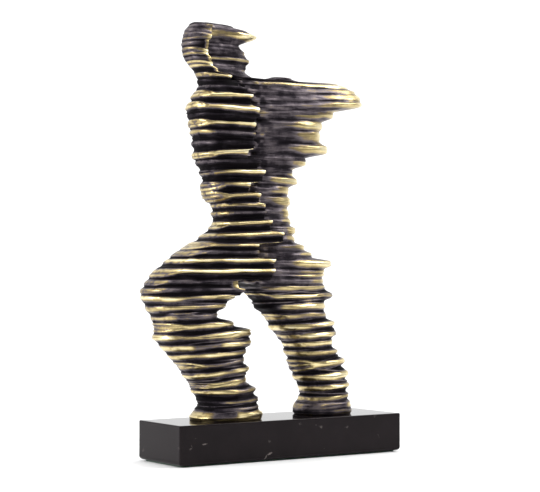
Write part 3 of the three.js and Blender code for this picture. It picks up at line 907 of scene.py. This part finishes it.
def layers(length, width, corner, profile):
    """Rings of a rounded block: profile is (inset, height) from the bottom up."""
    rings = []
    for inset, z in profile:
        ring_corner = max(corner - 0.3 * inset, 0.3)
        ring = rounded_rectangle(length - 2 * inset, width - 2 * inset, ring_corner)
        rings.append([(x, y, z) for x, y in ring])
    return np.array(rings)


def arris(size, height, steps, top):
    """Points of a rounded edge, as (inset, height), from the bottom up."""
    points = []
    for i in range(steps + 1):
        angle = i / steps * math.pi / 2
        first, second = size * (1 - math.cos(angle)), size * (1 - math.sin(angle))
        points.append((first, height - second) if top else (second, height + first))
    return points


FIXINGS = ("rear", "front")
MARBLE_CORNER = 1.2
MARBLE_TOP_ARRIS = 0.7
MARBLE_BOTTOM_ARRIS = 2.8
CLEARANCE_HOLE = 9
COUNTERBORE = 26
COUNTERBORE_DEPTH = 13
COUNTERBORE_CHAMFER = 0.3
OVERCUT = 1
FELT_CORNER = 3
FELT_THREAD = 0.8            # spacing of the points around the felt's cut edge
FELT_FRAY = 0.12


def full_turn(columns):
    return np.arange(columns) / columns * 2 * math.pi


def round_rings(profile, columns, x):
    """Rings of a turned piece: profile is (radius, height), where a radius may be one number per column."""
    angles = full_turn(columns)
    rings = []
    for radius, z in profile:
        radii, heights = np.broadcast_to(radius, columns), np.full(columns, z)
        rings.append([x + radii * np.cos(angles), radii * np.sin(angles), heights])
    return np.array(rings).transpose(0, 2, 1)


def sizes(node):
    """A turned node's X, its bottom and top, and its diameter."""
    low, high = (np.array(corner, float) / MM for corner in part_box(node))
    return (low[0] + high[0]) / 2, low[2], high[2], high[0] - low[0]


def smooth_by_angle(obj, degrees):
    obj.data.shade_smooth()
    obj.data.set_sharp_from_angle(angle=math.radians(degrees))
    return obj


def fixing_hole(x, bottom, top):
    """Counterbore from below and clearance hole from above, as two solids to cut away."""
    seat, radius = bottom + COUNTERBORE_DEPTH, COUNTERBORE / 2
    mouth = [(radius + 0.5, bottom - 0.5), (radius, bottom + COUNTERBORE_CHAMFER), (radius, seat)]
    shaft = [(CLEARANCE_HOLE / 2, seat - OVERCUT), (CLEARANCE_HOLE / 2, top + OVERCUT)]
    return [pile("counterbore", round_rings(mouth, 72, x)), pile("clearance", round_rings(shaft, 48, x))]


def make_marble():
    length, width, _ = marble_high - marble_low
    bottom, top = marble_low[2], marble_high[2]
    profile = [(MARBLE_BOTTOM_ARRIS + FLAT_STRIP, bottom)]
    profile += arris(MARBLE_BOTTOM_ARRIS, bottom, 7, top=False)
    profile += [(0, bottom + MARBLE_BOTTOM_ARRIS + FLAT_STRIP), (0, top - MARBLE_TOP_ARRIS - FLAT_STRIP)]
    profile += arris(MARBLE_TOP_ARRIS, top, 4, top=True)
    profile += [(MARBLE_TOP_ARRIS + FLAT_STRIP, top)]
    slab = pile("marble_slab", layers(length, width, MARBLE_CORNER, profile))
    holes = [tool for foot in FIXINGS for tool in fixing_hole(sizes(f"{foot}_stud")[0], bottom, top)]
    return smooth_by_angle(merge(slab, holes, "DIFFERENCE"), 32)


def frayed_ring(length, width, inset, z):
    """A rounded rectangle with a point every FELT_THREAD, drawn in a little here and there."""
    corners = np.array(rounded_rectangle(length - 2 * inset, width - 2 * inset, FELT_CORNER))
    ring = []
    for a, b in zip(corners, np.roll(corners, -1, axis=0)):
        pieces = max(1, int(np.linalg.norm(b - a) / FELT_THREAD))
        ring += [a + (b - a) * k / pieces for k in range(pieces)]
    ring = np.array(ring)
    fray = FELT_FRAY * np.abs(noise(ring[:, 0] / 0.9, ring[:, 1] / 0.9, z * 3, 91))
    outward = ring / np.linalg.norm(ring / np.array([length, width]), axis=1)[:, None] / length
    return ring - outward * fray[:, None]


def make_felt():
    length, width, height = felt_high - felt_low
    edge = [(0.25, 0.0), (0.05, 0.15 * height), (0.0, 0.5 * height), (0.08, 0.85 * height), (0.3, height)]
    rings = [frayed_ring(length, width, inset, z) for inset, z in edge]
    count = min(map(len, rings))
    points = np.zeros((len(edge), count, 3))
    for row, ring, (_, z) in zip(points, rings, edge):
        pick = np.round(np.linspace(0, len(ring), count, endpoint=False)).astype(int)
        row[:, :2] = ring[pick]
        row[:, 2] = z
    return smooth_by_angle(pile("felt_pad", points), 40)


# ---- fixings
# A bore is given as a radius.
THREAD_PITCH = 1.25
THREAD_DEPTH = 0.6
TAPPED_DEPTH = 0.35
STUD_STEPS = 240
STUD_COLUMNS = 48
STUD_CHAMFER = 0.9
TUBE_COLUMNS = 96
NUT_FLATS = 13.0
NUT_BORE = 4.25
NUT_BEVEL = (0.0, 0.35, 0.7, 1.1)
NUT_MOUTH = 0.5
WASHER_BORE = 4.3
WASHER_EDGE = 0.2
SPRING_BORE = 4.2
SPRING_EDGE = 0.1
SPRING_WIRE = 0.82           # thickness of the wire over the washer's height
SPRING_GAP = 0.13            # half the angle between the cut ends, in radians
SPRING_STEPS = 72
BOSS_COLUMNS = 120
BOSS_BORE = 4.3
BOSS_HOLE_DEPTH = 10.5
BOSS_MOUTH = 0.6
BOSS_CHAMFER = 0.5
BOSS_BAND = 1.5              # plain band at either end of the knurl
KNURL = 0.12


def thread(angle, z):
    """Depth of a helical thread below its crest, from 0 to 1."""
    turn = (z / THREAD_PITCH - angle / (2 * math.pi)) % 1.0
    return np.clip(1.25 * (1 - abs(2 * turn - 1)) - 0.125, 0, 1)


def tube(name, outer, inner, x, bottom):
    """Closed ring-shaped mesh: outer and inner are functions of angle that give (radius, height) lists."""
    rings = []
    for a in full_turn(TUBE_COLUMNS):
        section = outer(a) + inner(a)[::-1]
        rings.append([(x + r * math.cos(a), r * math.sin(a), bottom + z) for r, z in section])
    points = np.array(rings)
    return new_object(name, (points.reshape(-1, 3) * MM).tolist(), quads(*points.shape[:2], wrap=True))


def make_stud(name, x, bottom, top, diameter):
    radius, height = diameter / 2, top - bottom
    profile = []
    for z in np.linspace(0, height, STUD_STEPS + 1):
        limit = radius - max(0.0, STUD_CHAMFER - z, STUD_CHAMFER - (height - z))
        threaded = radius - THREAD_DEPTH * thread(full_turn(STUD_COLUMNS), z)
        profile.append((np.minimum(threaded, limit), bottom + z))
    return pile(name, round_rings(profile, STUD_COLUMNS, x))


def threaded_wall(height, a, steps=30):
    """Inner wall of a nut's tapped hole at one angle, with a countersink at each mouth."""
    wall = []
    for z in np.linspace(0, height, steps + 1):
        mouth = max(0.0, NUT_MOUTH - z, NUT_MOUTH - (height - z))
        threaded = NUT_BORE - TAPPED_DEPTH * (1 - thread(a, z))
        wall.append((max(threaded, NUT_BORE - TAPPED_DEPTH + mouth), z))
    return wall


def make_nut(name, x, bottom, top, _):
    """Hexagon nut whose corners are turned down to a bevel at both ends."""
    height, apothem = top - bottom, NUT_FLATS / 2
    levels = [*NUT_BEVEL, height / 2, *(height - z for z in reversed(NUT_BEVEL))]

    def outer(a):
        flat = apothem / math.cos((a % (math.pi / 3)) - math.pi / 6)
        return [(min(flat, apothem * 0.97 + 1.75 * min(z, height - z)), z) for z in levels]

    return tube(name, outer, lambda a: threaded_wall(height, a), x, bottom)


def make_washer(name, x, bottom, top, diameter):
    height = top - bottom

    def wall(radius, edge):
        heights = (0, WASHER_EDGE, height - WASHER_EDGE, height)
        return list(zip((radius + edge, radius, radius, radius + edge), heights))

    rim, hole = wall(diameter / 2, -WASHER_EDGE), wall(WASHER_BORE, WASHER_EDGE)
    return tube(name, lambda a: rim, lambda a: hole, x, bottom)


def make_spring_washer(name, x, bottom, top, diameter):
    """Square wire bent into one turn, with its cut ends a little apart in height."""
    height, inner, outer, edge = top - bottom, SPRING_BORE, diameter / 2, SPRING_EDGE
    wire = SPRING_WIRE * height
    corners = (
        (inner, wire - edge), (inner + edge, wire), (outer - edge, wire), (outer, wire - edge),
        (outer, edge), (outer - edge, 0), (inner + edge, 0), (inner, edge),
    )
    rings = []
    for k in range(SPRING_STEPS + 1):
        a = SPRING_GAP + 2 * (math.pi - SPRING_GAP) * k / SPRING_STEPS
        low = bottom + (height - wire) * k / SPRING_STEPS
        rings.append([(x + r * math.cos(a), r * math.sin(a), low + z) for r, z in corners])
    return pile(name, np.array(rings))


def boss_wall(height, radius):
    """Knurled outside of a boss, between two plain chamfered bands, from the bottom up."""
    knurl = KNURL * (np.arange(BOSS_COLUMNS) % 2)
    profile = []
    for z in (0.0, BOSS_CHAMFER, BOSS_BAND, BOSS_BAND + 0.1):
        rough = knurl if z > BOSS_BAND else 0
        profile.append((radius - 0.05 - max(0.0, BOSS_CHAMFER - z) - rough, z))
    return profile + [(wall, height - z) for wall, z in reversed(profile)]


def make_boss(name, x, bottom, top, diameter):
    """Tapped brass plug: knurled outside where it is brazed in, blind hole from below."""
    profile = []
    for z in np.linspace(BOSS_HOLE_DEPTH, 0, 40):
        threaded = BOSS_BORE - TAPPED_DEPTH * (1 - thread(full_turn(BOSS_COLUMNS), z))
        profile.append((threaded + max(0.0, BOSS_MOUTH - z), z))
    hole_end = (0.4 * profile[0][0], BOSS_HOLE_DEPTH)
    height = top - bottom
    profile = [hole_end, *profile, *boss_wall(height, diameter / 2), (0.2 * diameter, height)]
    profile = [(radius, bottom + z) for radius, z in profile]
    return pile(name, round_rings(profile, BOSS_COLUMNS, x))


# ---- assembly
def dress(obj, node, material):
    obj.data.materials.clear()
    obj.data.materials.append(material)
    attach(obj, "root")
    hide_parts(node)


bronze = bronze_material()
zinc = metal_material("zinc_plate", (0.42, 0.44, 0.46), (0.66, 0.67, 0.66), 0.36)
spring = metal_material("spring_steel", (0.14, 0.14, 0.15), (0.26, 0.25, 0.24), 0.42)
brass = metal_material("turned_brass", (0.46, 0.33, 0.13), (0.66, 0.50, 0.22), 0.34, line_stretch=6)

dress(make_figure(), "figure", bronze)
dress(make_marble(), "marble_base", marble_material())
felt = make_felt()
dress(felt, "felt_sheet", felt_material())

# Each fixing's node, its piece's name, how it is made, its sharp-edge angle, slot and material.
FIXING_PIECES = [
    ("foot_boss", "tapped_boss", make_boss, 30, "boss_brass", brass),
    ("stud", "threaded_stud", make_stud, 50, "zinc_steel", zinc),
    ("washer", "flat_washer", make_washer, 30, "zinc_steel", zinc),
    ("spring_washer", "lock_washer", make_spring_washer, 30, "spring_steel", spring),
    ("nut", "hex_nut", make_nut, 25, "zinc_steel", zinc),
]
for foot in FIXINGS:
    for part, name, make, angle, slot, material in FIXING_PIECES:
        node = f"{foot}_{part}"
        dress(smooth_by_angle(make(f"{foot}_{name}", *sizes(node)), angle), node, material)


# ---- studio
FLOOR_RINGS = (0.35, 0.9, 1.6, 2.6, 6.0)
FLOOR_COLUMNS = 96
FLOOR_FADE = (0.45, 1.4)
SKY_TURN = (-0.7, 0.35)
SKY_BACK = 1.25
SKY_FRONT = 0.4


def make_floor():
    """A pale disc that fades into the colour of the sky around it."""
    count = FLOOR_COLUMNS
    vertices = [(r * math.cos(a), r * math.sin(a), 0) for r in FLOOR_RINGS for a in full_turn(count)]
    vertices.append((0, 0, 0))
    middle = [(len(vertices) - 1, i, (i + 1) % count) for i in range(count)]
    floor = new_object("floor", vertices, middle + quads(len(FLOOR_RINGS), count))
    m = Material("pale_floor")
    m.set(Roughness=0.7, Specular_IOR_Level=0.2, Base_Color=(0.84, 0.84, 0.84, 1))
    where = m.node("TexCoord").outputs["Object"]
    glow = m.node("Emission", Strength=sky_brightness(m, where))
    blend = m.node("MixShader", Fac=m.spread(m.length(where), *FLOOR_FADE))
    m.feed(blend.inputs[1], m.shader.outputs[0])
    m.feed(blend.inputs[2], glow.outputs[0])
    m.feed(m.output.inputs["Surface"], blend.outputs[0])
    floor.data.materials.append(m.material)


def sky_brightness(nodes, direction):
    """Bright behind the statuette (+Y), dimmer on the side it is seen from."""
    unit = nodes.node("VectorMath", {"operation": "NORMALIZE"}, Vector=direction)
    split = nodes.node("SeparateXYZ", Vector=unit.outputs["Vector"])
    return nodes.spread(split.outputs["Y"], *SKY_TURN, SKY_FRONT, SKY_BACK)


def make_world():
    world = bpy.data.worlds.new("studio")
    bpy.context.scene.world = world
    world.use_nodes = True
    nodes = Nodes(world.node_tree)
    background = world.node_tree.nodes["Background"]
    nodes.feed(background.inputs["Color"], (1, 1, 1, 1))
    where = nodes.node("TexCoord").outputs["Generated"]
    nodes.feed(background.inputs["Strength"], sky_brightness(nodes, where))


def aim(obj, position, direction):
    obj.location = position
    obj.rotation_euler = direction.to_track_quat("-Z", "Y").to_euler()


def softbox(name, position, target, width, height, power):
    light = bpy.data.lights.new(name, "AREA")
    light.shape = "RECTANGLE"
    light.size, light.size_y = width, height
    light.energy = power
    aim(add_object(name, light), position, Vector(target) - Vector(position))


CAMERA_AZIMUTH = math.radians(-33.97)
CAMERA_ELEVATION = math.radians(-1.04)
CAMERA_TARGET = (-0.0018, 0.0012, 0.1598)
CAMERA_DISTANCE = 1.242
CAMERA_LENS = 108.5


def make_camera():
    back = Vector((
        math.sin(CAMERA_AZIMUTH) * math.cos(CAMERA_ELEVATION),
        -math.cos(CAMERA_AZIMUTH) * math.cos(CAMERA_ELEVATION),
        math.sin(CAMERA_ELEVATION),
    ))
    data = bpy.data.cameras.new("camera")
    data.lens = CAMERA_LENS
    data.sensor_width = 36
    data.clip_start = 0.05
    camera = add_object("camera", data)
    aim(camera, Vector(CAMERA_TARGET) + back * CAMERA_DISTANCE, -back)
    bpy.context.scene.camera = camera


make_camera()
make_floor()
make_world()
softbox("overhead", (0.1, 0.0, 1.4), (-0.02, 0, 0.15), 1.2, 1.0, 12)
softbox("front_right", (0.9, -0.55, 1.1), (-0.02, 0, 0.15), 0.7, 0.5, 10)
softbox("left", (-1.5, 0.1, 0.5), (-0.02, 0, 0.1), 0.8, 0.8, 14)
bpy.context.scene.view_settings.view_transform = "Standard"
